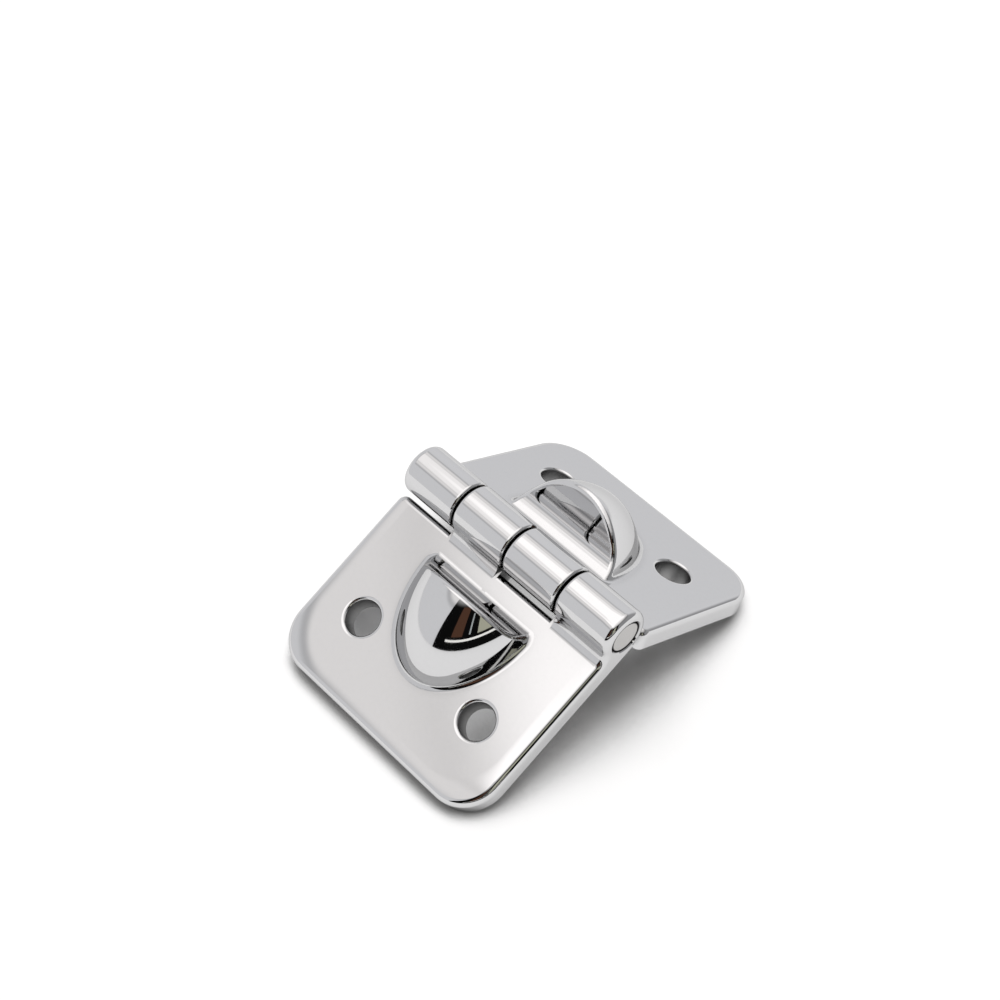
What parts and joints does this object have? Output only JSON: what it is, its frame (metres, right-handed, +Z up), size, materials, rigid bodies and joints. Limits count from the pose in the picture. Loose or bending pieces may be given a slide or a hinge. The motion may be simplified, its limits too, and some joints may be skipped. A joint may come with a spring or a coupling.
{
  "type": "lid support hinge",
  "caption": "Polished cast lid hinge; each leaf has plain screw holes and a raised half-egg boss, and the bosses meet to stop and support the opened lid.",
  "frame": {"origin": "on the floor under the middle of the pin, as the hinge stands on the free edges of its leaves", "axes": "+X along the pin, +Y from the base leaf towards the lid leaf, +Z up"},
  "size_m": [0.05, 0.0704, 0.0266],
  "materials": {
    "leaf_metal": "mirror polished casting",
    "pin_metal": "polished round bar"
  },
  "bodies": {
    "base": {"base_leaf": "leaf_metal", "hinge_pin": "pin_metal"},
    "lid": {"lid_leaf": "leaf_metal"}
  },
  "joints": [
    {"name": "lid_hinge", "type": "hinge", "parent": "base", "child": "lid", "pos_m": [0, 0, 0.02186], "axis": [1, 0, 0], "range_deg": [-44, 159]}
  ]
}
